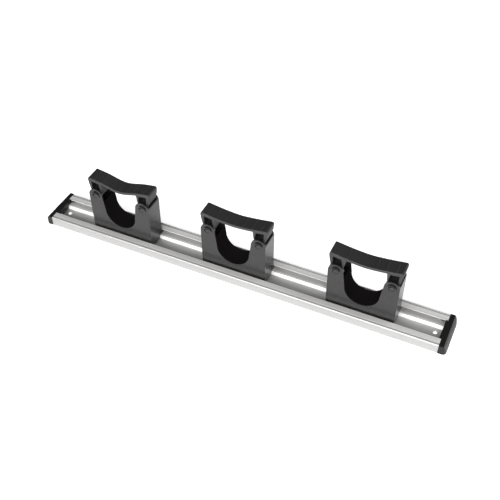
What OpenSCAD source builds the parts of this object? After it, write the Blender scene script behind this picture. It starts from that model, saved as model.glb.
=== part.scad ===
// Wall rail with three sliding holders. Millimetres, +Z away from the wall, X along the rail.
// The rail lies on its back at Z = 0, centred on the origin; holders face up.

/* [Rail] */
// Length of the aluminium rail between the end caps
rail_l = 500; // [460:10:620]
// Width of the rail
rail_w = 50.4; // [50:0.2:56]
// Height of the rail off the wall
rail_h = 12; // [11:0.1:14]
// Width of the open slot between the lips
slot_w = 29.2; // [28.6:0.2:30]
// Radius of the two wall screw holes
screw_r = 2.5; // [2:0.1:3]
// Distance of each screw hole from the end of the aluminium
screw_in = 9.5; // [9:0.5:14]

/* [End caps] */
// Thickness of the plate on each end
cap_t = 9.4; // [7:0.1:12]
// Length of the fingers that push in under the lips
finger_l = 8; // [5:0.5:9]

/* [Holders] */
// Width of a holder along the rail, at its foot
body_w = 81.2; // [80:0.2:84]
// Depth of a holder across the rail
body_d = 25.2; // [24.4:0.2:26]
// Height of the hinge pins above the wall
pin_z = 62; // [60:0.5:66]
// Distance of each hinge pin from the holder's side
pin_in = 8.6; // [8.2:0.1:9]
// Radius of the hinge pins
pin_r = 2.5; // [2:0.1:2.8]
// Height of the lowest point of the U mouth
mouth_z = 21.9; // [20:0.5:26]
// Width of the holder left on each side of the U mouth
post_w = 20.2; // [19.8:0.2:22]
// Height of the side walls between the ears
wall_z = 64.3; // [58:0.5:65]
// Distance of the left holder's middle from the rail's left end
end_1 = 97.2; // [90:0.2:115]
// Place of the middle holder along the rail, from the rail's middle
place_2 = -1.6; // [-8:0.2:8]
// Distance of the right holder's middle from the rail's right end
end_3 = 94.7; // [90:0.1:115]

/* [Grippers] */
// Depth of the rubber gripper across the rail
grip_d = 19.6; // [16:0.2:19.8]
// How far the gripper's corners stand out past the holder's foot
corner_out = 1.4; // [0:0.1:2]
// Height of the gripper's corners above the wall
grip_z = 85; // [83:0.1:87]
// Thickness of the strap
strap_t = 3.4; // [2:0.1:4]
// Thickness of the jaw under its ribbed top
top_t = 4.6; // [4:0.1:5]
// How far the middle of each strap lies below its corners
dip = 5; // [3:0.5:7]
// How much further the left strap sags
sag_1 = 3.4; // [0:0.2:5]
// Number of raised ribs across the gripper
ribs = 7; // [5:2:9]

/* [Hidden] */
// true curves
$fn = 64;
// clearance of a sliding piece, of a seated piece, and of a pin in its bore
gap = 0.3;
seat = 0.15;
run = 0.06;
over = 1;
half = rail_l / 2;
hw = rail_w / 2;
sw = slot_w / 2;
// section of the rail: floor of the trough, shelf, underside of the lips
floor_z = 2.6;
shelf_z = 6.8;
lip_z = rail_h - 1.6;
trough_y = 7;
shelf_y = 8.6;
slot_y = 19.5;
wall = 1.7;
// flange and keel of a holder's base
flange_y = slot_y - gap - 0.2;
keel_z = floor_z + gap + 0.1;
keel_y = trough_y - gap - 0.3;
flange_lo = shelf_z + gap;
flange_hi = lip_z - gap;
// end cap: plan corners, height, and the slope of its outer face in two parts
cap_r = 4.5;
cap_h = rail_h;
cap_top = 3.8;
cap_mid = 1.6;
cap_mid_z = rail_h - 3.7;
cap_foot = 1.2;
tongue = 2.4;
finger_t = 1.5;
// places of the holders, pins and mouth
place_1 = -half + end_1;
place_3 = half - end_3;
pin_x = body_w / 2 - pin_in;
mouth_r = body_w / 2 - post_w;
mouth_c = mouth_z + mouth_r;
mouth_top = mouth_r + 2.5;
// ears, with a hood round each pin head
ear_r = 9;
ear_in = grip_d / 2 + gap;
side_t = 2.2;
scoop_r = 12.6;
body_top_w = body_w + 0.8;
head_r = 3.3;
recess_r = head_r + 0.5;
hood_in = recess_r + 0.35;
hood_r = hood_in + 1;
hood_t = 2;
// gripper, with the strap's hinge line measured from the holder's middle
grip_w = body_w + 2 * corner_out;
joint_x = pin_x - 8;
sag_w = joint_x + 5;
corner_r = 2.4;
barrel_r = 6;
foot_top = pin_z + barrel_r + 0.6;
rib_w = 1;
rib_t = 0.5;
rib_pitch = (grip_w - 6) / ribs;

// height of the gripper's top at a distance x from its middle
function top_z(x, sag) = grip_z - dip + dip * pow(min(abs(x), grip_w / 2) / (grip_w / 2), 1.5)
    - sag * (1 + cos(180 * min(abs(x) / sag_w, 1))) / 2;

// a YZ outline swept along X from x0 over a length l
module along_x(x0, l) {
    translate([x0, 0, 0]) rotate([90, 0, 90]) linear_extrude(height = l) children();
}

// an XZ outline swept across the rail, d deep and centred
module across(d) {
    translate([0, d / 2, 0]) rotate([90, 0, 0]) linear_extrude(height = d) children();
}

// a round bar across the rail
module bar(r, d) {
    translate([0, d / 2, 0]) rotate([90, 0, 0]) cylinder(r = r, h = d);
}

// one half of the rail's section, +Y side
module rail_half_section() {
    difference() {
        union() {
            polygon([[0, 0], [hw, 0], [hw, rail_h - 1], [hw - 1, rail_h], [sw, rail_h],
                [sw, lip_z], [slot_y, lip_z], [slot_y, shelf_z], [shelf_y, shelf_z],
                [trough_y, floor_z], [0, floor_z]]);
            translate([hw - 1, rail_h - 1]) circle(r = 1);
        }
        // groove along the edge of the flange
        polygon([[hw - 1.6, rail_h + 1], [hw - 1.6, rail_h], [hw - 2.3, rail_h - 0.7],
            [hw - 3.3, rail_h - 0.7], [hw - 4, rail_h], [hw - 4, rail_h + 1]]);
        // small shadow line on the shelf
        translate([shelf_y + 1.2, shelf_z - 0.4]) square([0.6, 1]);
        // relief in the back
        polygon([[shelf_y + wall - 0.4, -1], [hw - 1.8, -1], [hw - 1.8, rail_h - 2.8],
            [slot_y + wall, rail_h - 2.8], [slot_y + wall, shelf_z - 1.7],
            [shelf_y + wall + 0.3, shelf_z - 1.7]]);
    }
}

module rail() {
    color("silver") difference() {
        along_x(-half, rail_l) {
            rail_half_section();
            mirror([1, 0]) rail_half_section();
        }
        for (s = [-1, 1]) translate([s * (half - screw_in), 0, -1]) cylinder(r = screw_r, h = floor_z + 2);
    }
}

// plate with rounded outer corners, a tongue between the lips and two fingers under them
module end_cap() {
    out_x = half + cap_t;
    color("dimgray") {
        difference() {
            union() {
                translate([half, -hw - gap, 0]) cube([cap_t - cap_r, rail_w + 2 * gap, cap_h]);
                translate([half, -hw - gap + cap_r, 0]) cube([cap_t, rail_w + 2 * (gap - cap_r), cap_h]);
                for (s = [-1, 1]) translate([out_x - cap_r, s * (hw + gap - cap_r), 0])
                    cylinder(r = cap_r, h = cap_h);
            }
            // outer face, leaning in towards the top above a low foot
            across(rail_w + 4) polygon([[out_x, -over], [out_x, cap_foot], [out_x - cap_mid, cap_mid_z],
                [out_x - cap_top, cap_h], [out_x - cap_top, cap_h + over], [out_x + over, cap_h + over],
                [out_x + over, -over]]);
        }
        translate([half - tongue, 0, 0]) along_x(0, tongue) tongue_section();
        for (s = [0, 1]) mirror([0, s, 0]) translate([half - finger_l, sw + seat, lip_z - seat - finger_t])
            cube([finger_l + over, slot_y - sw - 2 * seat, finger_t]);
    }
}

// section of the tongue, clear of the trough's sloping sides
module tongue_section() {
    polygon([[-trough_y + seat, floor_z + seat], [trough_y - seat, floor_z + seat],
        [shelf_y - seat, shelf_z + seat], [sw - seat, shelf_z + seat], [sw - seat, rail_h],
        [-sw + seat, rail_h], [-sw + seat, shelf_z + seat], [-shelf_y + seat, shelf_z + seat]]);
}

// front outline of a holder, with its ears and without the mouth
module body_front() {
    polygon([[-body_w / 2, flange_hi - 1], [body_w / 2, flange_hi - 1],
        [body_top_w / 2, pin_z], [-body_top_w / 2, pin_z]]);
    for (s = [-1, 1]) translate([s * (body_top_w / 2 - ear_r), pin_z]) circle(r = ear_r);
}

// U mouth with slightly flared sides
module mouth() {
    translate([0, mouth_c]) circle(r = mouth_r);
    polygon([[-mouth_r, mouth_c], [mouth_r, mouth_c], [mouth_top, pin_z - 1],
        [mouth_top, pin_z + ear_r + over], [-mouth_top, pin_z + ear_r + over], [-mouth_top, pin_z - 1]]);
}

// base that slides in the rail: keel, flange and neck
module base_section() {
    polygon([[-keel_y, keel_z], [keel_y, keel_z], [shelf_y - 0.8, flange_lo], [flange_y, flange_lo],
        [flange_y, flange_hi], [body_d / 2, flange_hi], [body_d / 2, flange_hi + 1],
        [-body_d / 2, flange_hi + 1], [-body_d / 2, flange_hi], [-flange_y, flange_hi],
        [-flange_y, flange_lo], [-shelf_y + 0.8, flange_lo]]);
}

module holder_body(x) {
    inner_x = body_w / 2 - side_t;
    core_x = pin_x - 7;
    color("#303032") translate([x, 0, 0]) difference() {
        union() {
            across(body_d) difference() { body_front(); mouth(); }
            along_x(-body_w / 2, body_w) base_section();
            for (s = [-1, 1]) translate([s * pin_x, 0, pin_z]) for (t = [0, 1]) mirror([0, t, 0]) hood();
        }
        for (s = [0, 1]) mirror([s, 0, 0]) {
            // room between the ears for the jaw and its foot
            translate([0, -ear_in, wall_z]) cube([body_top_w, 2 * ear_in, 2 * ear_r]);
            translate([inner_x / 2, -ear_in, pin_z]) cube([inner_x / 2, 2 * ear_in, 2 * ear_r]);
            intersection() {
                translate([pin_x, 0, pin_z]) bar(scoop_r, 2 * ear_in);
                translate([0, -ear_in, pin_z - scoop_r]) cube([inner_x, 2 * ear_in, 2 * scoop_r]);
            }
            // hollow core, open underneath
            translate([core_x, -ear_in, 0]) cube([inner_x - core_x, 2 * ear_in, pin_z - 15]);
            // pin bores and the recesses round the pin heads
            translate([pin_x, 0, pin_z]) {
                bar(pin_r + 0.02, body_d + 2 * over);
                for (t = [-1, 1]) translate([0, t * body_d / 2, 0]) bar(recess_r, 2 * over);
            }
        }
    }
}

// half ring over a pin head, proud at the top and running out at the bottom
module hood() {
    face = body_d / 2;
    difference() {
        translate([0, face - over, 0]) rotate([-90, 0, 0]) cylinder(r = hood_r, h = hood_t + over);
        translate([0, face - 2 * over, 0]) rotate([-90, 0, 0])
            cylinder(r = hood_in, h = hood_t + 3 * over);
        along_x(-hood_r - over, 2 * (hood_r + over))
            polygon([[face, -hood_r - over], [face, -hood_r], [face + hood_t, hood_r],
                [face + hood_t + over, hood_r], [face + hood_t + over, -hood_r - over]]);
    }
}

// hinge pin with a low head at each end
module pivot_pin(x) {
    color("#252527") translate([x, 0, pin_z]) {
        bar(pin_r, body_d - 2);
        for (t = [0, 1]) mirror([0, t, 0]) translate([0, body_d / 2 - 1, 0]) rotate([-90, 0, 0]) {
            cylinder(r = head_r, h = 0.4);
            translate([0, 0, 0.4]) cylinder(r1 = head_r, r2 = head_r - 0.8, h = 0.3);
        }
    }
}

// top line of the gripper from x0 to x1, as points
function top_line(x0, x1, sag, n = 8) =
    [for (i = [0:n]) let (x = x0 + (x1 - x0) * i / n) [x, top_z(x, sag)]];

// raised ribs on the gripper's top between x0 and x1
module rib_line(x0, x1, sag) {
    intersection() {
        for (i = [0:(ribs - 1) / 2]) let (x = i * rib_pitch)
            translate([x - rib_w / 2, top_z(x, sag) - rib_t]) square([rib_w, 2 * rib_t]);
        translate([x0, 0]) square([x1 - x0, grip_z + over]);
    }
}

// outline of the right jaw's walls: outer wall, top and inner wall, down into the barrel
module jaw_walls(sag) {
    gx = grip_w / 2;
    x0 = joint_x + seat;
    x1 = gx - corner_r;
    cz = top_z(x1, sag) - corner_r;
    w0 = pin_x - 4.4;
    w1 = pin_x + 5.6;
    difference() {
        union() {
            polygon(concat(top_line(x0, x1, sag), [[gx, cz], [pin_x + 9.3, pin_z + 14],
                [pin_x + 7.9, pin_z + 7], [pin_x + 6.2, pin_z + 3.6], [pin_x + 4, pin_z],
                [pin_x - 4, pin_z], [pin_x - 5.8, pin_z + 2.6], [pin_x - 7.4, pin_z + 8],
                [x0, top_z(x0, sag) - strap_t]]));
            translate([x1, cz]) circle(r = corner_r);
            rib_line(x0, x1, sag);
        }
        // window between the walls
        polygon([[w0, top_z(w0, sag) - top_t], [w1, top_z(w1, sag) - top_t],
            [pin_x + 4.9, pin_z + 7], [pin_x + 4.6, foot_top], [pin_x - 5, foot_top],
            [pin_x - 5.6, pin_z + 8]]);
    }
}

// jaw with the barrel that turns on the pin
module jaw(x, side, sag) {
    color("#232324") translate([x, 0, 0]) mirror([side < 0 ? 1 : 0, 0, 0]) difference() {
        union() {
            across(grip_d) jaw_walls(sag);
            translate([pin_x, 0, pin_z]) bar(barrel_r, grip_d);
        }
        translate([pin_x, 0, pin_z]) bar(pin_r + run, grip_d + 2 * over);
    }
}

// half of the ribbed strap, from the jaw to the middle
module strap(x, side, sag) {
    top = top_line(seat, joint_x - seat, sag, 12);
    under = [for (i = [12:-1:0]) [top[i][0], top[i][1] - strap_t]];
    color("#232324") translate([x, 0, 0]) mirror([side < 0 ? 1 : 0, 0, 0]) union() {
        across(grip_d) polygon(concat(top, under));
        across(grip_d) rib_line(seat, joint_x - seat, sag);
    }
}

rail();
mirror([1, 0, 0]) end_cap();  // end_cap_left
end_cap();  // end_cap_right
holder_body(place_1);  // holder_body_1
pivot_pin(place_1 - pin_x);  // pivot_pin_left_1
pivot_pin(place_1 + pin_x);  // pivot_pin_right_1
jaw(place_1, -1, sag_1);  // jaw_left_1
jaw(place_1, 1, sag_1);  // jaw_right_1
strap(place_1, -1, sag_1);  // strap_left_1
strap(place_1, 1, sag_1);  // strap_right_1
holder_body(place_2);  // holder_body_2
pivot_pin(place_2 - pin_x);  // pivot_pin_left_2
pivot_pin(place_2 + pin_x);  // pivot_pin_right_2
jaw(place_2, -1, 0);  // jaw_left_2
jaw(place_2, 1, 0);  // jaw_right_2
strap(place_2, -1, 0);  // strap_left_2
strap(place_2, 1, 0);  // strap_right_2
holder_body(place_3);  // holder_body_3
pivot_pin(place_3 - pin_x);  // pivot_pin_left_3
pivot_pin(place_3 + pin_x);  // pivot_pin_right_3
jaw(place_3, -1, 0);  // jaw_left_3
jaw(place_3, 1, 0);  // jaw_right_3
strap(place_3, -1, 0);  // strap_left_3
strap(place_3, 1, 0);  // strap_right_3
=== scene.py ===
"""Wall rail with three sliding tool holders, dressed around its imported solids. Metres, rail along X."""

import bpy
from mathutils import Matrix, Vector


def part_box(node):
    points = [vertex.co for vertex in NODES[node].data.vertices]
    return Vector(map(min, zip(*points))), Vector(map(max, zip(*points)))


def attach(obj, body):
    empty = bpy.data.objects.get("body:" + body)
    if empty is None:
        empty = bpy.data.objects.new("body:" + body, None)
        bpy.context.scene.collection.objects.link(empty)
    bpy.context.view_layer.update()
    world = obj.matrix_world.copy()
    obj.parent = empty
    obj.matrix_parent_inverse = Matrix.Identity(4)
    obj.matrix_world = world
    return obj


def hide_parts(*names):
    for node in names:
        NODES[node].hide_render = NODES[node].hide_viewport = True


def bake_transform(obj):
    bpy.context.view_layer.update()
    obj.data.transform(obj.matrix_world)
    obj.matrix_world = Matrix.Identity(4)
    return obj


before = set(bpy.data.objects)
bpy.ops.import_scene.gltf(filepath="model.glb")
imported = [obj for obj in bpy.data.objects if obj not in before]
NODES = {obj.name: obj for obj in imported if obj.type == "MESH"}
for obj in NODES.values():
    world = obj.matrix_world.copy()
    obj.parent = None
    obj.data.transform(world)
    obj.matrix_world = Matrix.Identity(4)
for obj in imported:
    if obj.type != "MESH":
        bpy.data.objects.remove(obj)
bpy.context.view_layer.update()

import math

import bpy
import numpy as np
from mathutils import Matrix, Vector
from mathutils.geometry import tessellate_polygon

bl_info = {
    "name": "Tool holder rail",
    "version": (1, 0, 0),
    "blender": (4, 5, 0),
    "location": "3D view > Sidebar > Holder rail",
    "description": "Dresses a wall rail with three sliding holders, their pins and rubber grippers",
    "category": "Object",
}

MM = 0.001
HOLDERS = (1, 2, 3)
SAGGING_HOLDER = 1
SIDES = (("left", -1), ("right", 1))

# Camera: turn round the part, tilt and roll in degrees, the point it looks at, its distance from there, and
# its focal length in pixels of a picture of the given width
CAMERA_TURN, CAMERA_TILT, CAMERA_ROLL = 24.962, 44.089, -0.2997
CAMERA_AIM = (-2.669 * MM, 36.660 * MM, -0.133 * MM)
CAMERA_AWAY = 1.008632
FOCAL_PIXELS, PICTURE_PIXELS = 818.853, 500
SENSOR_WIDTH = 36

# Soft lights: name, place and size; their powers are in the studio group
LIGHTS = (
    ("front", (0.10, -1.70, 1.50), (2.0, 0.9)),
    ("side", (1.30, 0.50, 1.20), (1.2, 1.0)),
    ("rear", (-0.55, 1.25, 1.40), (2.4, 0.9)),
    ("low", (0.00, -1.70, 0.88), (2.6, 0.4)),
)
LIGHT_AIM = Vector((0, 0, 30 * MM))

FLOOR_ROUGHNESS, FLOOR_SPECULAR = 0.9, 0.2
WHITE = (1, 1, 1, 1)

# Rounding of the solids' edges, and how far large faces outweigh small ones in a new piece's shading
WELD_REACH = 0.002 * MM
EDGE_STEPS = 2
EDGE_ANGLE = math.radians(35)
NORMAL_WEIGHT = 80

# The sockets of a colour mix, by number because the node's other types share their names
MIX_SHARE, MIX_A, MIX_B, MIX_RESULT = 0, 6, 7, 2

# Fineness: steps over a rim, points round a window's corner, along the upper and lower arc of a pin's lip,
# and along the parts of a half gripper's outer line
RIM_STEPS = 4
WINDOW_CORNER_POINTS = 5
LIP_POINTS_ABOVE, LIP_POINTS_BELOW = 22, 30
UNDERSIDE_POINTS, FILLET_POINTS, BARREL_POINTS = 46, 7, 44
BEND_POINTS, TOP_POINTS, TIP_POINTS = 9, 230, 9

# Corners of a jaw in X and Z, in millimetres from its pin
INNER_WALL = ((-7.4, 8.0),)
OUTER_WALL = ((7.9, 7.0), (9.3, 14.0))
WINDOW_ROOF = (-4.4, 5.6)
WINDOW_RIGHT_BEND = (4.9, 7.0)
WINDOW_LEFT_BEND = (-5.6, 8.0)
WINDOW_SILL = (4.6, -5.0)
WINDOW_SILL_GAP = 0.6
WINDOW_ROUNDINGS = (0.9, 0.9, 0.15, 0.15, 0.15, 0.4)

# Longest step along the window, the arcs round the pin and the outer corner in degrees, how far in from the
# corner's centre the ribbed top starts, the power that the top rises with, and the steepness of a rib's sides
WINDOW_STEP = 1.5 * MM
BARREL_ANGLES, BEND_ANGLES = (155, 385), (-8, 86)
TOP_START = 0.3 * MM
TOP_POWER = 1.5
RIB_STEEPNESS = 1.5


def holder_middle(n):
    """Middle of a holder along the rail, halfway between its solid's ends."""
    low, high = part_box(f"holder_body_{n}")
    return (low.x + high.x) / 2


# Sizes, colours and lights


class HolderRailSizes(bpy.types.PropertyGroup):
    """Sizes of the grippers, the pins, the holders' mouths and the small edge roundings."""
    grip_depth: bpy.props.FloatProperty(
        name="Gripper depth", description="Depth of a gripper across the rail",
        default=19.6 * MM, unit="LENGTH")
    grip_width: bpy.props.FloatProperty(
        name="Gripper width", description="Width of a gripper over its corners",
        default=84 * MM, unit="LENGTH")
    grip_height: bpy.props.FloatProperty(
        name="Corner height", description="Height of a gripper's corners above the wall",
        default=85 * MM, unit="LENGTH")
    dip: bpy.props.FloatProperty(
        name="Dip", description="How far the middle of each strap lies below its corners",
        default=5 * MM, unit="LENGTH")
    sag: bpy.props.FloatProperty(
        name="Left sag", description="How much further the left strap sags",
        default=3.4 * MM, unit="LENGTH")
    sag_gap: bpy.props.FloatProperty(
        name="Sag gap", description="Distance from each pin in to the ends of the sag",
        default=3 * MM, unit="LENGTH")
    strap: bpy.props.FloatProperty(
        name="Strap thickness", description="Thickness of the rubber strap",
        default=3.4 * MM, unit="LENGTH")
    hinge_in: bpy.props.FloatProperty(
        name="Bend distance", description="Distance from each pin in to the bend between jaw and strap",
        default=8 * MM, unit="LENGTH")
    bend_length: bpy.props.FloatProperty(
        name="Bend length", description="Length of strap over which it goes from jaw to strap",
        default=6 * MM, unit="LENGTH")
    bar: bpy.props.FloatProperty(
        name="Bar thickness", description="Thickness of a jaw over its window",
        default=4.6 * MM, unit="LENGTH")
    barrel: bpy.props.FloatProperty(
        name="Barrel", description="Radius of the rubber round each pin",
        default=6 * MM, unit="LENGTH")
    bore: bpy.props.FloatProperty(
        name="Bore", description="Radius of the hole for each pin",
        default=2.56 * MM, unit="LENGTH")
    corner: bpy.props.FloatProperty(
        name="Corner rounding", description="Rounding of a gripper's outer corners",
        default=2.4 * MM, unit="LENGTH")
    inner_round: bpy.props.FloatProperty(
        name="Inner rounding", description="Rounding from a strap's underside into its jaw",
        default=1.6 * MM, unit="LENGTH")
    meeting_gap: bpy.props.FloatProperty(
        name="Meeting gap", description="How much shallower the right half of a gripper is than the left",
        default=0.06 * MM, unit="LENGTH")
    rib_width: bpy.props.FloatProperty(
        name="Rib width", description="Width of a raised rib on a gripper",
        default=1.0 * MM, unit="LENGTH")
    rib_height: bpy.props.FloatProperty(
        name="Rib height", description="Height of a raised rib on a gripper",
        default=0.5 * MM, unit="LENGTH")
    rib_margin: bpy.props.FloatProperty(
        name="Rib margin", description="Width of a gripper that the spacing of its ribs leaves out",
        default=6 * MM, unit="LENGTH")
    ribs: bpy.props.IntProperty(
        name="Ribs", description="Number of rib spacings over a whole gripper", default=7, min=1)
    rim: bpy.props.FloatProperty(
        name="Rubber rim", description="Rounding along the front and back rims of a gripper",
        default=0.45 * MM, unit="LENGTH")
    mouth_width: bpy.props.FloatProperty(
        name="Mouth width", description="Widest inner width of a holder's U mouth",
        default=46.4 * MM, unit="LENGTH")
    mouth_height: bpy.props.FloatProperty(
        name="Mouth centre", description="Height of the centre of a U mouth's round bottom",
        default=42.3 * MM, unit="LENGTH")
    mouth_low: bpy.props.FloatProperty(
        name="Mouth low", description="Height below which no face belongs to a U mouth",
        default=20 * MM, unit="LENGTH")
    holder_depth: bpy.props.FloatProperty(
        name="Holder depth", description="Depth of a holder across the rail",
        default=25.2 * MM, unit="LENGTH")
    pin_height: bpy.props.FloatProperty(
        name="Pin height", description="Height of the hinge pins above the wall",
        default=62 * MM, unit="LENGTH")
    pin_side: bpy.props.FloatProperty(
        name="Pin distance", description="Distance of each pin from its holder's middle",
        default=32 * MM, unit="LENGTH")
    pin_shaft: bpy.props.FloatProperty(
        name="Pin shaft", description="Radius of a pin's shaft",
        default=2.5 * MM, unit="LENGTH")
    pin_head: bpy.props.FloatProperty(
        name="Pin head", description="Radius of a pin's head in its recess",
        default=3.7 * MM, unit="LENGTH")
    pin_sunk: bpy.props.FloatProperty(
        name="Pin sunk", description="Depth of a pin's head below the holder's face",
        default=0.7 * MM, unit="LENGTH")
    lip_radius: bpy.props.FloatProperty(
        name="Lip arc", description="Radius of the arc that bounds the flush lip above",
        default=4.4 * MM, unit="LENGTH")
    lip_drop: bpy.props.FloatProperty(
        name="Lip drop", description="Distance of that arc's centre below the pin's centre",
        default=3.2 * MM, unit="LENGTH")
    lip_depth: bpy.props.FloatProperty(
        name="Lip depth", description="Depth of the flush lip behind the holder's face",
        default=0.9 * MM, unit="LENGTH")
    body_edge: bpy.props.FloatProperty(
        name="Holder edge", description="Rounding of a holder's moulded edges",
        default=0.4 * MM, unit="LENGTH")
    metal_edge: bpy.props.FloatProperty(
        name="Rail edge", description="Rounding of the rail's extruded edges",
        default=0.2 * MM, unit="LENGTH")


class HolderRailColours(bpy.types.PropertyGroup):
    """Colours of the finishes."""
    aluminium: bpy.props.FloatVectorProperty(
        name="Aluminium", description="Colour of the extruded rail",
        default=(0.905, 0.90, 0.895), size=3, subtype="COLOR", min=0, max=1)
    body: bpy.props.FloatVectorProperty(
        name="Holder plastic", description="Colour of the moulded holders",
        default=(0.0122, 0.0118, 0.0118), size=3, subtype="COLOR", min=0, max=1)
    # The mouth colour is painted shade: a darker copy of the holder's plastic for the shade inside the U
    # mouth.
    mouth: bpy.props.FloatVectorProperty(
        name="Mouth", description="Colour of the matt walls inside a holder's U mouth",
        default=(0.0078, 0.0068, 0.0074), size=3, subtype="COLOR", min=0, max=1)
    cap: bpy.props.FloatVectorProperty(
        name="Cap plastic", description="Colour of the end caps",
        default=(0.0044, 0.0044, 0.0046), size=3, subtype="COLOR", min=0, max=1)
    pin: bpy.props.FloatVectorProperty(
        name="Pin plastic", description="Colour of the hinge pins",
        default=(0.0115, 0.0112, 0.0112), size=3, subtype="COLOR", min=0, max=1)
    rubber: bpy.props.FloatVectorProperty(
        name="Rubber", description="Colour of the grippers",
        default=(0.0019, 0.0017, 0.0018), size=3, subtype="COLOR", min=0, max=1)
    floor: bpy.props.FloatVectorProperty(
        name="Floor", description="Colour of the floor",
        default=(0.93, 0.93, 0.93), size=3, subtype="COLOR", min=0, max=1)


class HolderRailStudio(bpy.types.PropertyGroup):
    """Strengths of the lights and reach of the floor."""
    front: bpy.props.FloatProperty(
        name="Front light", description="Power of the soft light in front", default=30.0, min=0)
    side: bpy.props.FloatProperty(
        name="Side light", description="Power of the soft light at the right", default=10.0, min=0)
    rear: bpy.props.FloatProperty(
        name="Rear light", description="Power of the soft light behind", default=1.6, min=0)
    low: bpy.props.FloatProperty(
        name="Low light", description="Power of the long low light in front", default=40.0, min=0)
    sky: bpy.props.FloatProperty(
        name="Surroundings", description="Strength of the light from all round", default=0.09, min=0)
    glow: bpy.props.FloatProperty(
        name="Floor glow", description="Strength of the light from the lit floor", default=0.66, min=0)
    floor_half: bpy.props.FloatProperty(
        name="Floor reach", description="Distance from the middle of the floor to each side",
        default=30.0, unit="LENGTH")


def sizes():
    return bpy.context.scene.holder_rail_sizes


def colours():
    return bpy.context.scene.holder_rail_colours


def studio():
    return bpy.context.scene.holder_rail_studio


# Finishes


def shaded(colour, times):
    """The same colour, so many times as bright."""
    return [min(1.0, times * channel) for channel in colour]


class Finish:
    """A node material on object coordinates, built up step by step."""
    COLOUR_SPAN = (0.35, 0.65)
    ROUGHNESS_SPAN = (0.3, 0.7)

    def __init__(self, name, colour, roughness, metallic=0.0, specular=0.5):
        self.material = bpy.data.materials.new(name)
        self.material.use_nodes = True
        self.nodes = self.material.node_tree.nodes
        self.links = self.material.node_tree.links
        self.shader = self.nodes["Principled BSDF"]
        self.shader.inputs["Base Color"].default_value = (*colour, 1)
        self.shader.inputs["Roughness"].default_value = roughness
        self.shader.inputs["Metallic"].default_value = metallic
        self.shader.inputs["Specular IOR Level"].default_value = specular
        self.place = self.nodes.new("ShaderNodeTexCoord").outputs["Object"]
        self.colour = colour
        self.height = None

    def noise(self, scale, detail=3.0, stretch=(1, 1, 1), rough=0.55):
        """Noise at so many grains a metre, drawn out along each axis whose stretch is below one."""
        mapping = self.nodes.new("ShaderNodeMapping")
        mapping.inputs["Scale"].default_value = stretch
        self.links.new(self.place, mapping.inputs["Vector"])
        noise = self.nodes.new("ShaderNodeTexNoise")
        noise.inputs["Scale"].default_value = scale
        noise.inputs["Detail"].default_value = detail
        noise.inputs["Roughness"].default_value = rough
        self.links.new(mapping.outputs["Vector"], noise.inputs["Vector"])
        return noise.outputs["Fac"]

    def waves(self, pitch):
        """Sine waves across the rail, a pitch in metres apart."""
        split = self.nodes.new("ShaderNodeSeparateXYZ")
        self.links.new(self.place, split.inputs[0])
        value = split.outputs["Y"]
        for operation, number in (("MULTIPLY", 2 * math.pi / pitch), ("SINE", 0)):
            step = self.nodes.new("ShaderNodeMath")
            step.operation = operation
            step.inputs[1].default_value = number
            self.links.new(value, step.inputs[0])
            value = step.outputs[0]
        return value

    def ramp(self, value, span, to_low, to_high):
        """A value within a span, spread over to_low to to_high."""
        spread = self.nodes.new("ShaderNodeMapRange")
        for socket, number in zip(("From Min", "From Max", "To Min", "To Max"), (*span, to_low, to_high)):
            spread.inputs[socket].default_value = number
        self.links.new(value, spread.inputs["Value"])
        return spread.outputs["Result"]

    def mixed(self, share):
        """A new mix of two colours, with their share as a number or as a node's value."""
        mix = self.nodes.new("ShaderNodeMix")
        mix.data_type = "RGBA"
        if isinstance(share, float):
            mix.inputs[MIX_SHARE].default_value = share
        else:
            self.links.new(share, mix.inputs[MIX_SHARE])
        return mix

    def vary_colour(self, value, darker, lighter):
        """The colour runs from darker to lighter times itself along the value, half and half with any
        earlier run."""
        earlier = self.shader.inputs["Base Color"].links
        mix = self.mixed(self.ramp(value, self.COLOUR_SPAN, 0, 1))
        for socket, times in ((MIX_A, darker), (MIX_B, lighter)):
            mix.inputs[socket].default_value = (*shaded(self.colour, times), 1)
        if earlier:
            both = self.mixed(0.5)
            self.links.new(earlier[0].from_socket, both.inputs[MIX_A])
            self.links.new(mix.outputs[MIX_RESULT], both.inputs[MIX_B])
            mix = both
        self.links.new(mix.outputs[MIX_RESULT], self.shader.inputs["Base Color"])

    def vary_roughness(self, value, low, high):
        """The roughness runs from low to high along the value."""
        self.links.new(self.ramp(value, self.ROUGHNESS_SPAN, low, high), self.shader.inputs["Roughness"])

    def bump(self, value, depth, strength=1.0):
        """Adds relief of a depth in metres on top of what is there."""
        bump = self.nodes.new("ShaderNodeBump")
        bump.inputs["Distance"].default_value = depth
        bump.inputs["Strength"].default_value = strength
        self.links.new(value, bump.inputs["Height"])
        if self.height:
            self.links.new(self.height, bump.inputs["Normal"])
        self.height = bump.outputs["Normal"]
        self.links.new(self.height, self.shader.inputs["Normal"])


def moulded(name, colour, roughness, specular=0.5):
    """Moulded plastic: a fine spark-eroded grain, slow and finer clouding, and a slightly uneven shine."""
    f = Finish(name, colour, roughness, specular=specular)
    f.vary_colour(f.noise(38, detail=4), darker=0.9, lighter=1.1)
    f.vary_colour(f.noise(420, detail=2), darker=0.93, lighter=1.07)
    f.vary_roughness(f.noise(70), roughness - 0.02, roughness + 0.03)
    f.bump(f.noise(1600, detail=2), 0.006 * MM)
    return f.material


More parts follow.
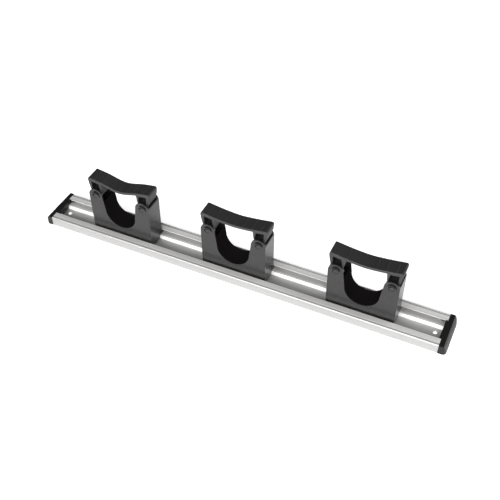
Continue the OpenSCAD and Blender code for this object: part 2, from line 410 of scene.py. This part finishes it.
def extruded(name, colour, roughness, grooves=0.0, metallic=1.0):
    """Extruded aluminium: straight die lines along X with slow clouding; grooves is the depth in metres of
    even fine grooves along X, a sine of the distance across the rail."""
    f = Finish(name, colour, roughness, metallic=metallic)
    along_x, groove_pitch = (0, 1, 1), 0.9 * MM
    lines = f.noise(1500, stretch=along_x)
    f.vary_colour(lines, darker=0.95, lighter=1.03)
    f.vary_colour(f.noise(9, stretch=(0.5, 1, 1)), darker=0.97, lighter=1.03)
    f.vary_roughness(f.noise(600, detail=2, stretch=along_x), roughness - 0.06, roughness + 0.06)
    f.bump(lines, 0.008 * MM, strength=0.7)
    if grooves:
        f.bump(f.waves(groove_pitch), grooves)
    f.bump(f.noise(2500, detail=1), 0.004 * MM, strength=0.5)
    return f.material


def rubbery(name, colour, roughness):
    """Soft moulded rubber: matt, with a fine tooth, dusty clouding and faint flow lines along X."""
    f = Finish(name, colour, roughness, specular=0.85)
    f.vary_colour(f.noise(55, detail=5, rough=0.65), darker=0.82, lighter=1.2)
    f.vary_colour(f.noise(900, detail=2), darker=0.88, lighter=1.12)
    f.vary_roughness(f.noise(140, detail=4), roughness - 0.05, roughness + 0.05)
    f.bump(f.noise(1800), 0.03 * MM)
    f.bump(f.noise(300, stretch=(0.15, 1, 1)), 0.02 * MM, strength=0.5)
    return f.material


# Shapes


def finish_node(name, materials, edge, zones=None):
    """Gives a solid its materials and rounds its edges; the rounded strips take the last material, and
    zones, where given, turns the middles and normals of the faces into their materials' numbers."""
    node = NODES[name]
    polygons = node.data.polygons
    node.data.materials.clear()
    for material in materials:
        node.data.materials.append(material)
    count = len(polygons)
    index = np.zeros(count, np.int32)
    if zones:
        middle, normal = np.empty(count * 3), np.empty(count * 3)
        polygons.foreach_get("center", middle)
        polygons.foreach_get("normal", normal)
        index = zones(middle.reshape(-1, 3), normal.reshape(-1, 3)).astype(np.int32)
    polygons.foreach_set("material_index", index)
    polygons.foreach_set("use_smooth", np.ones(count, bool))
    weld = node.modifiers.new("merge", "WELD")
    weld.merge_threshold = WELD_REACH
    bevel = node.modifiers.new("edges", "BEVEL")
    bevel.width = edge
    bevel.segments = EDGE_STEPS
    bevel.limit_method = "ANGLE"
    bevel.angle_limit = EDGE_ANGLE
    bevel.material = len(materials) - 1
    normals = node.modifiers.new("normals", "WEIGHTED_NORMAL")
    normals.keep_sharp = True


def arc(radius, start, end, centre=(0.0, 0.0), count=41):
    """Points evenly spaced on a circle's arc, from one angle to another: the centre plus the radius times
    the angle's cosine and sine."""
    angle = np.linspace(start, end, count)
    return np.stack([centre[0] + radius * np.cos(angle), centre[1] + radius * np.sin(angle)], 1)


def circle(radius):
    """A closed circle round the origin."""
    return arc(radius, 0, 2 * math.pi)[:-1]


def filleted(corners, radii):
    """A closed polygon with each corner replaced by an arc: the arc starts and ends where a circle of the
    corner's radius touches both sides, and turns evenly between the two touching points."""
    p = np.asarray(corners, float)
    r = np.asarray(radii, float)
    before = np.roll(p, 1, 0) - p
    after = np.roll(p, -1, 0) - p
    a = before / np.linalg.norm(before, axis=1, keepdims=True)
    b = after / np.linalg.norm(after, axis=1, keepdims=True)
    half = np.arccos(np.clip((a * b).sum(1), -1, 1)) / 2
    reach = r / np.tan(half)
    middle = (a + b) / np.linalg.norm(a + b, axis=1, keepdims=True)
    centre = p + middle * (r / np.sin(half))[:, None]
    first = p + a * reach[:, None] - centre
    last = p + b * reach[:, None] - centre
    start = np.arctan2(first[:, 1], first[:, 0])
    turn = (np.arctan2(last[:, 1], last[:, 0]) - start + math.pi) % (2 * math.pi) - math.pi
    angle = start[:, None] + turn[:, None] * np.linspace(0, 1, WINDOW_CORNER_POINTS)[None]
    arcs = centre[:, None] + r[:, None, None] * np.stack([np.cos(angle), np.sin(angle)], -1)
    return arcs.reshape(-1, 2)


def spaced(points, step):
    """The same closed line with extra points, so that no two neighbours are more than a step apart."""
    ends = np.vstack([points, points[:1]])
    gap = np.linalg.norm(np.diff(ends, axis=0), axis=1)
    count = np.maximum(1, np.ceil(gap / step).astype(int))
    first = np.repeat(np.cumsum(count) - count, count)
    share = (np.arange(count.sum()) - first) / np.repeat(count, count)
    start = np.repeat(np.arange(len(count)), count)
    return ends[start] + (ends[start + 1] - ends[start]) * share[:, None]


def outward(loop):
    """Unit normals of a closed line, to the right of its direction of travel."""
    along = np.roll(loop, -1, 0) - np.roll(loop, 1, 0)
    along /= np.linalg.norm(along, axis=1, keepdims=True)
    return np.stack([along[:, 1], -along[:, 0]], 1)


def plate(loops, depth, rim, middle=0.0, ribs=None):
    """Points and faces of a plate that stands across the rail, from closed XZ lines, the first outside and
    the others holes. Each wall is a grid of two parameters: along the line, and an angle that runs from the
    front face over the front rim, the flat wall and the back rim to the back face. A rim point is drawn in
    from the line by rim times one minus the angle's cosine. The ribs, heights along the first line, raise
    it by their height times a share that fades to none over the rims."""
    angle = np.linspace(math.pi / 2, 0, RIM_STEPS + 1)
    drawn_in, drawn_back = rim * (1 - np.cos(angle)), rim * (1 - np.sin(angle))
    inset = np.concatenate([drawn_in, drawn_in[::-1]])
    y = np.concatenate([-depth / 2 + drawn_back, depth / 2 - drawn_back[::-1]])
    fade = 1 - inset / rim
    rows = len(y)
    points, faces, starts, base = [], [], [], 0
    for number, loop in enumerate(loops):
        count = len(loop)
        raised = ribs if ribs is not None and number == 0 else np.zeros(count)
        shift = raised[None] * fade[:, None] - inset[:, None]
        grid = loop[None] + outward(loop)[None] * shift[..., None]
        across = np.broadcast_to((y + middle)[:, None], shift.shape)
        points.append(np.stack([grid[..., 0], across, grid[..., 1]], -1).reshape(-1, 3))
        i, j = np.meshgrid(np.arange(rows - 1), np.arange(count), indexing="ij")
        k = (j + 1) % count
        quads = np.stack([i * count + j, i * count + k, (i + 1) * count + k, (i + 1) * count + j], -1)
        faces += (base + quads).reshape(-1, 4).tolist()
        starts.append(base)
        base += rows * count
    co = np.vstack(points)
    for row, facing in ((0, -1), (rows - 1, 1)):
        parts = [start + row * len(loop) + np.arange(len(loop)) for start, loop in zip(starts, loops)]
        index = np.concatenate(parts)
        cap = tessellate_polygon([[Vector((co[i][0], co[i][2], 0)) for i in part] for part in parts])
        tri = index[np.array(cap)]
        a, b, c = co[tri[:, 0]], co[tri[:, 1]], co[tri[:, 2]]
        inward = np.cross(b - a, c - a)[:, 1] * facing < 0
        tri[inward] = tri[inward][:, ::-1]
        faces += tri.tolist()
    return co, faces


def piece_of(name, shells, materials):
    """One object from closed shells, each given as its points and faces and the number of its material; the
    four-cornered faces of walls and rims are shaded smooth, and the triangles of flat ends are not."""
    points, faces, index, base = [], [], [], 0
    for (co, shell_faces), material in shells:
        points.append(co)
        faces += [[base + corner for corner in face] for face in shell_faces]
        index += [material] * len(shell_faces)
        base += len(co)
    mesh = bpy.data.meshes.new(name)
    mesh.from_pydata(np.vstack(points).tolist(), [], faces)
    mesh.polygons.foreach_set("use_smooth", np.array([len(face) == 4 for face in faces]))
    for material in materials:
        mesh.materials.append(material)
    mesh.polygons.foreach_set("material_index", np.array(index, np.int32))
    piece = bpy.data.objects.new(name, mesh)
    bpy.context.scene.collection.objects.link(piece)
    normals = piece.modifiers.new("normals", "WEIGHTED_NORMAL")
    normals.weight = NORMAL_WEIGHT
    normals.keep_sharp = True
    return piece


def pin_lip():
    """Line of the flush lip in a pin's recess, round the pin's centre: above, a wide arc round a point
    below the centre; below, the recess's own arc; the two meet at the lip's corners."""
    z = sizes()
    wide, drop, tight = z.lip_radius, z.lip_drop, z.pin_head
    corner_z = (wide ** 2 - tight ** 2 - drop ** 2) / (2 * drop)
    corner_x = math.sqrt(tight ** 2 - corner_z ** 2)
    above = math.atan2(corner_z + drop, corner_x)
    below = math.atan2(corner_z, corner_x)
    return np.vstack([arc(wide, above, math.pi - above, (0, -drop), LIP_POINTS_ABOVE)[:-1],
                      arc(tight, -math.pi - below, below, count=LIP_POINTS_BELOW)[:-1]])


def strap_top(x, sag):
    """Height of a gripper's top above the wall: the corners' height less the dip, rising again with the
    1.5th power of the distance from the middle, less a cosine hump of sag between the pins."""
    z = sizes()
    share = np.minimum(np.abs(x) / (z.grip_width / 2), 1)
    near = np.minimum(np.abs(x) / (z.pin_side - z.sag_gap), 1)
    return z.grip_height - z.dip + z.dip * share ** TOP_POWER - sag * (1 + np.cos(math.pi * near)) / 2


def strap_level(x, sag, below=0.0):
    """One height of strap_top, so far below it."""
    return float(strap_top(np.array(x), sag)) - below


def gripper_lines(sag):
    """Outer line, window and bore of a right-hand half gripper, anticlockwise outside and clockwise inside,
    with the height of the raised ribs at each point of the outer line: full over the middle third of a
    rib's width, and falling evenly to none at its sides."""
    z = sizes()
    px, pz, t, r = z.pin_side, z.pin_height, z.strap, z.inner_round
    hinge, quarter = px - z.hinge_in, math.pi / 2

    def from_pin(*corners):
        return np.array([px, pz]) + np.array(corners) * MM

    # strap underside, rounded into the inner wall
    x = np.linspace(0, hinge - r, UNDERSIDE_POINTS)
    under = np.stack([x, strap_top(x, sag) - t], 1)
    fillet = arc(r, quarter, 0, (hinge - r, strap_level(hinge, sag, t) - r), FILLET_POINTS)
    # barrel round the pin, from the inner wall above it to the outer wall
    barrel = arc(z.barrel, *np.radians(BARREL_ANGLES), (px, pz), BARREL_POINTS)
    # outer corner, then the ribbed top back to the middle and the rounded tip there
    end = z.grip_width / 2 - z.corner
    bend = arc(z.corner, *np.radians(BEND_ANGLES), (end, strap_level(end, sag, z.corner)), BEND_POINTS)
    x = np.linspace(end - TOP_START, 0, TOP_POINTS)
    top = np.stack([x, strap_top(x, sag)], 1)
    tip = arc(t / 2, quarter, 3 * quarter, (0, strap_level(0.0, sag, t / 2)), TIP_POINTS)[1:-1]
    outer = np.vstack([under, fillet, from_pin(*INNER_WALL), barrel, from_pin(*OUTER_WALL), bend, top, tip])
    pitch = (z.grip_width - z.rib_margin) / z.ribs
    off = np.abs(outer[:, 0] / pitch - np.round(outer[:, 0] / pitch)) * pitch
    place = np.arange(len(outer))
    on_top = (place >= len(outer) - len(tip) - len(top)) & (place < len(outer) - len(tip))
    ribs = np.where(on_top, z.rib_height * np.clip(RIB_STEEPNESS * (1 - off / (z.rib_width / 2)), 0, 1), 0)
    # window and bore
    roof = px + np.array(WINDOW_ROOF) * MM
    sill = [[px + side * MM, pz + z.barrel + WINDOW_SILL_GAP * MM] for side in WINDOW_SILL]
    corners = np.vstack([np.stack([roof, strap_top(roof, sag) - z.bar], 1), from_pin(WINDOW_RIGHT_BEND), sill,
                         from_pin(WINDOW_LEFT_BEND)])
    window = spaced(filleted(corners, np.array(WINDOW_ROUNDINGS) * MM), WINDOW_STEP)
    bore = arc(z.bore, 0, -2 * math.pi, (px, pz))[:-1]
    return [outer, window, bore], ribs


# Operators


class HOLDERRAIL_OT_stage(bpy.types.Operator):
    """Add the camera, the pale floor and the soft lights"""
    bl_idname = "holder_rail.stage"
    bl_label = "Stage"

    def execute(self, context):
        scene = context.scene
        turn, tilt, roll = (math.radians(angle) for angle in (CAMERA_TURN, CAMERA_TILT, CAMERA_ROLL))
        back = Vector((math.sin(turn) * math.cos(tilt), -math.cos(turn) * math.cos(tilt), math.sin(tilt)))
        level = Vector((math.cos(turn), math.sin(turn), 0))
        right = math.cos(roll) * level + math.sin(roll) * back.cross(level)
        up = back.cross(right)
        lens = bpy.data.cameras.new("camera")
        lens.sensor_width = SENSOR_WIDTH
        lens.lens = FOCAL_PIXELS / PICTURE_PIXELS * SENSOR_WIDTH
        camera = bpy.data.objects.new("camera", lens)
        place = Vector(CAMERA_AIM) + back * CAMERA_AWAY
        camera.matrix_world = Matrix.Translation(place) @ Matrix((right, up, back)).transposed().to_4x4()
        scene.collection.objects.link(camera)
        scene.camera = camera

        s = studio()
        wide = s.floor_half
        mesh = bpy.data.meshes.new("floor")
        mesh.from_pydata([(-wide, -wide, 0), (wide, -wide, 0), (wide, wide, 0), (-wide, wide, 0)], [],
                         [(0, 1, 2, 3)])
        floor = bpy.data.objects.new("floor", mesh)
        pale = bpy.data.materials.new("floor")
        pale.use_nodes = True
        shader = pale.node_tree.nodes["Principled BSDF"]
        shader.inputs["Base Color"].default_value = (*colours().floor, 1)
        shader.inputs["Roughness"].default_value = FLOOR_ROUGHNESS
        shader.inputs["Specular IOR Level"].default_value = FLOOR_SPECULAR
        shader.inputs["Emission Color"].default_value = WHITE
        shader.inputs["Emission Strength"].default_value = s.glow
        mesh.materials.append(pale)
        scene.collection.objects.link(floor)

        for name, place, size in LIGHTS:
            light = bpy.data.lights.new(name, "AREA")
            light.shape = "RECTANGLE"
            light.size, light.size_y = size
            light.energy = getattr(s, name)
            lamp = bpy.data.objects.new(name, light)
            away = (Vector(place) - LIGHT_AIM).normalized()
            lamp.matrix_world = Matrix.Translation(place) @ away.to_track_quat("Z", "Y").to_matrix().to_4x4()
            scene.collection.objects.link(lamp)
        world = bpy.data.worlds.new("surroundings")
        world.use_nodes = True
        background = world.node_tree.nodes["Background"]
        background.inputs["Color"].default_value = WHITE
        background.inputs["Strength"].default_value = s.sky
        scene.world = world
        scene.view_settings.view_transform = "Standard"
        scene.view_settings.look = "None"
        return {"FINISHED"}


class HOLDERRAIL_OT_rail(bpy.types.Operator):
    """Finish the extruded aluminium rail"""
    bl_idname = "holder_rail.rail"
    bl_label = "Rail"

    def execute(self, context):
        colour = colours().aluminium
        _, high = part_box("rail")
        # distances in from the rail's side, out from its middle, down from its top and up from the wall
        side_skin, groove_in, groove_out = 1.2 * MM, 4.1 * MM, 1.5 * MM
        trough_half, wall_out = 8 * MM, 10 * MM
        lip_under, groove_low, groove_high = 2 * MM, 0.9 * MM, 0.2 * MM
        wall_low, floor_up, wall_high = 2.7 * MM, 4 * MM, 6.9 * MM
        # least share of a face's normal that points up, out to the side, or sideways in the trough
        facing_up, facing_out, facing_side = 0.9, 0.7, 0.5

        def zones(middle, normal):
            """0 the flanges and lips; 1 the outer faces, 2 the trough's floor, 3 the shelves beside it and 4
            the grooves along the edges, which take darker copies as painted shade; 5 the trough's side walls,
            a brighter copy as a painted highlight."""
            across, height = np.abs(middle[:, 1]), middle[:, 2]
            sideways, up = np.abs(normal[:, 1]), normal[:, 2] > facing_up
            inside, under = high.y - across, high.z - height
            outer = (sideways > facing_out) & (inside < side_skin)
            floor = up & (across < trough_half) & (height < floor_up)
            shelf = up & (height > floor_up) & (under > lip_under)
            groove = (under > groove_high) & (under < groove_low)
            groove &= (inside < groove_in) & (inside > groove_out)
            wall = (sideways > facing_side) & (across < wall_out) & (height > wall_low) & (height < wall_high)
            return outer * 1 + floor * 2 + shelf * 3 + groove * 4 + wall * 5

        # Painted light on one aluminium: the outer faces, trough floor, shelves, grooves and rounded edges
        # take darker copies as painted shade, and the trough's side walls take a brighter, partly metallic
        # copy as a painted highlight.
        finishes = (extruded("aluminium", shaded(colour, 0.97), roughness=0.74, grooves=0.004 * MM),
                    extruded("aluminium_outer", shaded(colour, 0.48), roughness=0.36),
                    extruded("aluminium_floor", shaded(colour, 0.62), roughness=0.62),
                    extruded("aluminium_shelf", shaded(colour, 0.62), roughness=0.84),
                    extruded("aluminium_groove", shaded(colour, 0.42), roughness=0.7),
                    extruded("aluminium_wall", shaded(colour, 1.05), roughness=0.7, metallic=0.75),
                    extruded("aluminium_edge", shaded(colour, 0.66), roughness=0.42))
        finish_node("rail", finishes, sizes().metal_edge, zones)
        return {"FINISHED"}


class HOLDERRAIL_OT_end_caps(bpy.types.Operator):
    """Finish the two end caps"""
    bl_idname = "holder_rail.end_caps"
    bl_label = "End caps"

    def execute(self, context):
        colour = colours().cap
        finishes = (moulded("cap_plastic", colour, roughness=0.45, specular=0.3),
                    # The rounded edges take a lighter, glossier copy of the cap plastic as a painted
                    # highlight.
                    moulded("cap_edge", shaded(colour, 1.5), roughness=0.36, specular=0.42))
        for side, _ in SIDES:
            finish_node(f"end_cap_{side}", finishes, sizes().body_edge)
        return {"FINISHED"}


class HOLDERRAIL_OT_bodies(bpy.types.Operator):
    """Finish the three moulded holders"""
    bl_idname = "holder_rail.bodies"
    bl_label = "Holders"

    def execute(self, context):
        z = sizes()
        colour = colours().body
        finishes = (moulded("body_plastic", colour, roughness=0.28, specular=0.43),
                    # The U mouth's walls take a darker copy without shine as painted shade.
                    moulded("mouth_plastic", colours().mouth, roughness=0.5, specular=0.0),
                    # The rounded edges take a lighter, glossier copy of the plastic as a painted highlight.
                    moulded("body_edge", shaded(colour, 1.35), roughness=0.25, specular=0.5))
        # least lean towards the mouth's axis, and most lean across the rail
        least_inward, most_across = 0.01 * MM, 0.5
        for n in HOLDERS:
            axis = holder_middle(n)

            def zones(middle, normal):
                """1 the walls of the U mouth, whose normals point at its axis, painted dark as shade, and 0
                the rest.
                """
                to_axis = axis - middle[:, 0]
                to_centre = np.maximum(z.mouth_height - middle[:, 2], 0)
                inward = normal[:, 0] * to_axis + normal[:, 2] * to_centre > least_inward
                in_mouth = (np.abs(to_axis) < z.mouth_width / 2) & (middle[:, 2] > z.mouth_low)
                return inward & in_mouth & (np.abs(normal[:, 1]) < most_across)

            finish_node(f"holder_body_{n}", finishes, z.body_edge, zones)
        return {"FINISHED"}


class HOLDERRAIL_OT_pins(bpy.types.Operator):
    """Build the six hinge pins, sunk under their hoods, with a flush lip below; their shafts and sunk heads
    are painted dark as shade
    """
    bl_idname = "holder_rail.pins"
    bl_label = "Pins"

    def execute(self, context):
        z = sizes()
        colour = colours().pin
        # The shafts and sunk heads take a near-black, nearly shineless copy of the pin colour as painted
        # shade in the recess under each hood.
        finishes = (moulded("pin_core", shaded(colour, 0.3), roughness=0.6, specular=0.08),
                    moulded("pin_lip", colour, roughness=0.27, specular=0.46))
        sunk_shade, flush = 0, 1
        lip, shaft, disc = pin_lip(), circle(z.pin_shaft), circle(z.pin_head)
        face = z.holder_depth / 2
        shaft_rim, disc_rim, lip_rim = 0.1 * MM, 0.05 * MM, 0.2 * MM
        shaft_short, disc_depth = 2 * MM, 0.3 * MM
        for n in HOLDERS:
            for side, sign in SIDES:
                place = np.array([holder_middle(n) + sign * z.pin_side, z.pin_height])
                shells = [(plate([shaft + place], 2 * face - shaft_short, shaft_rim), sunk_shade)]
                for end in (-1, 1):
                    disc_middle = end * (face - z.pin_sunk - disc_depth / 2)
                    lip_middle = end * (face - z.lip_depth / 2)
                    shells.append((plate([disc + place], disc_depth, disc_rim, disc_middle), sunk_shade))
                    shells.append((plate([lip + place], z.lip_depth, lip_rim, lip_middle), flush))
                piece = piece_of(f"pin_{side}_{n}", shells, finishes)
                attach(piece, f"holder_{n}")
                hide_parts(f"pivot_pin_{side}_{n}")
        return {"FINISHED"}


class HOLDERRAIL_OT_grippers(bpy.types.Operator):
    """Build the rubber grippers, a jaw with its half of the strap on each side"""
    bl_idname = "holder_rail.grippers"
    bl_label = "Grippers"

    def execute(self, context):
        z = sizes()
        rubber = rubbery("rubber", colours().rubber, roughness=0.62)
        for n in HOLDERS:
            middle = holder_middle(n)
            sag = z.sag if n == SAGGING_HOLDER else 0.0
            for side, sign in SIDES:
                loops, ribs = gripper_lines(sag)
                if sign < 0:
                    loops = [np.stack([-loop[::-1, 0], loop[::-1, 1]], 1) for loop in loops]
                    ribs = ribs[::-1]
                loops = [loop + np.array([middle, 0]) for loop in loops]
                depth = z.grip_depth - (z.meeting_gap if sign > 0 else 0)
                shell = plate(loops, depth, z.rim, ribs=ribs)
                piece = piece_of(f"gripper_{side}_{n}", [(shell, 0)], (rubber,))
                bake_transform(piece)
                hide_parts(f"jaw_{side}_{n}", f"strap_{side}_{n}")
        return {"FINISHED"}


STEPS = (HOLDERRAIL_OT_stage, HOLDERRAIL_OT_rail, HOLDERRAIL_OT_end_caps, HOLDERRAIL_OT_bodies,
         HOLDERRAIL_OT_pins, HOLDERRAIL_OT_grippers)


class HOLDERRAIL_PT_panel(bpy.types.Panel):
    """Buttons for each piece, with the sizes, colours and lights"""
    bl_idname = "HOLDERRAIL_PT_panel"
    bl_label = "Tool holder rail"
    bl_space_type = "VIEW_3D"
    bl_region_type = "UI"
    bl_category = "Holder rail"

    def draw(self, context):
        for step in STEPS:
            self.layout.operator(step.bl_idname)
        for group in (sizes(), colours(), studio()):
            box = self.layout.box()
            for name in group.__annotations__:
                box.prop(group, name)


GROUPS = (("holder_rail_sizes", HolderRailSizes), ("holder_rail_colours", HolderRailColours),
          ("holder_rail_studio", HolderRailStudio))


def register():
    for name, group in GROUPS:
        bpy.utils.register_class(group)
        setattr(bpy.types.Scene, name, bpy.props.PointerProperty(type=group))
    for step in STEPS:
        bpy.utils.register_class(step)
    bpy.utils.register_class(HOLDERRAIL_PT_panel)


def unregister():
    bpy.utils.unregister_class(HOLDERRAIL_PT_panel)
    for step in reversed(STEPS):
        bpy.utils.unregister_class(step)
    for name, group in reversed(GROUPS):
        delattr(bpy.types.Scene, name)
        bpy.utils.unregister_class(group)


def main():
    register()
    for step in STEPS:
        family, name = step.bl_idname.split(".")
        getattr(getattr(bpy.ops, family), name)()


if __name__ == "__main__":
    main()
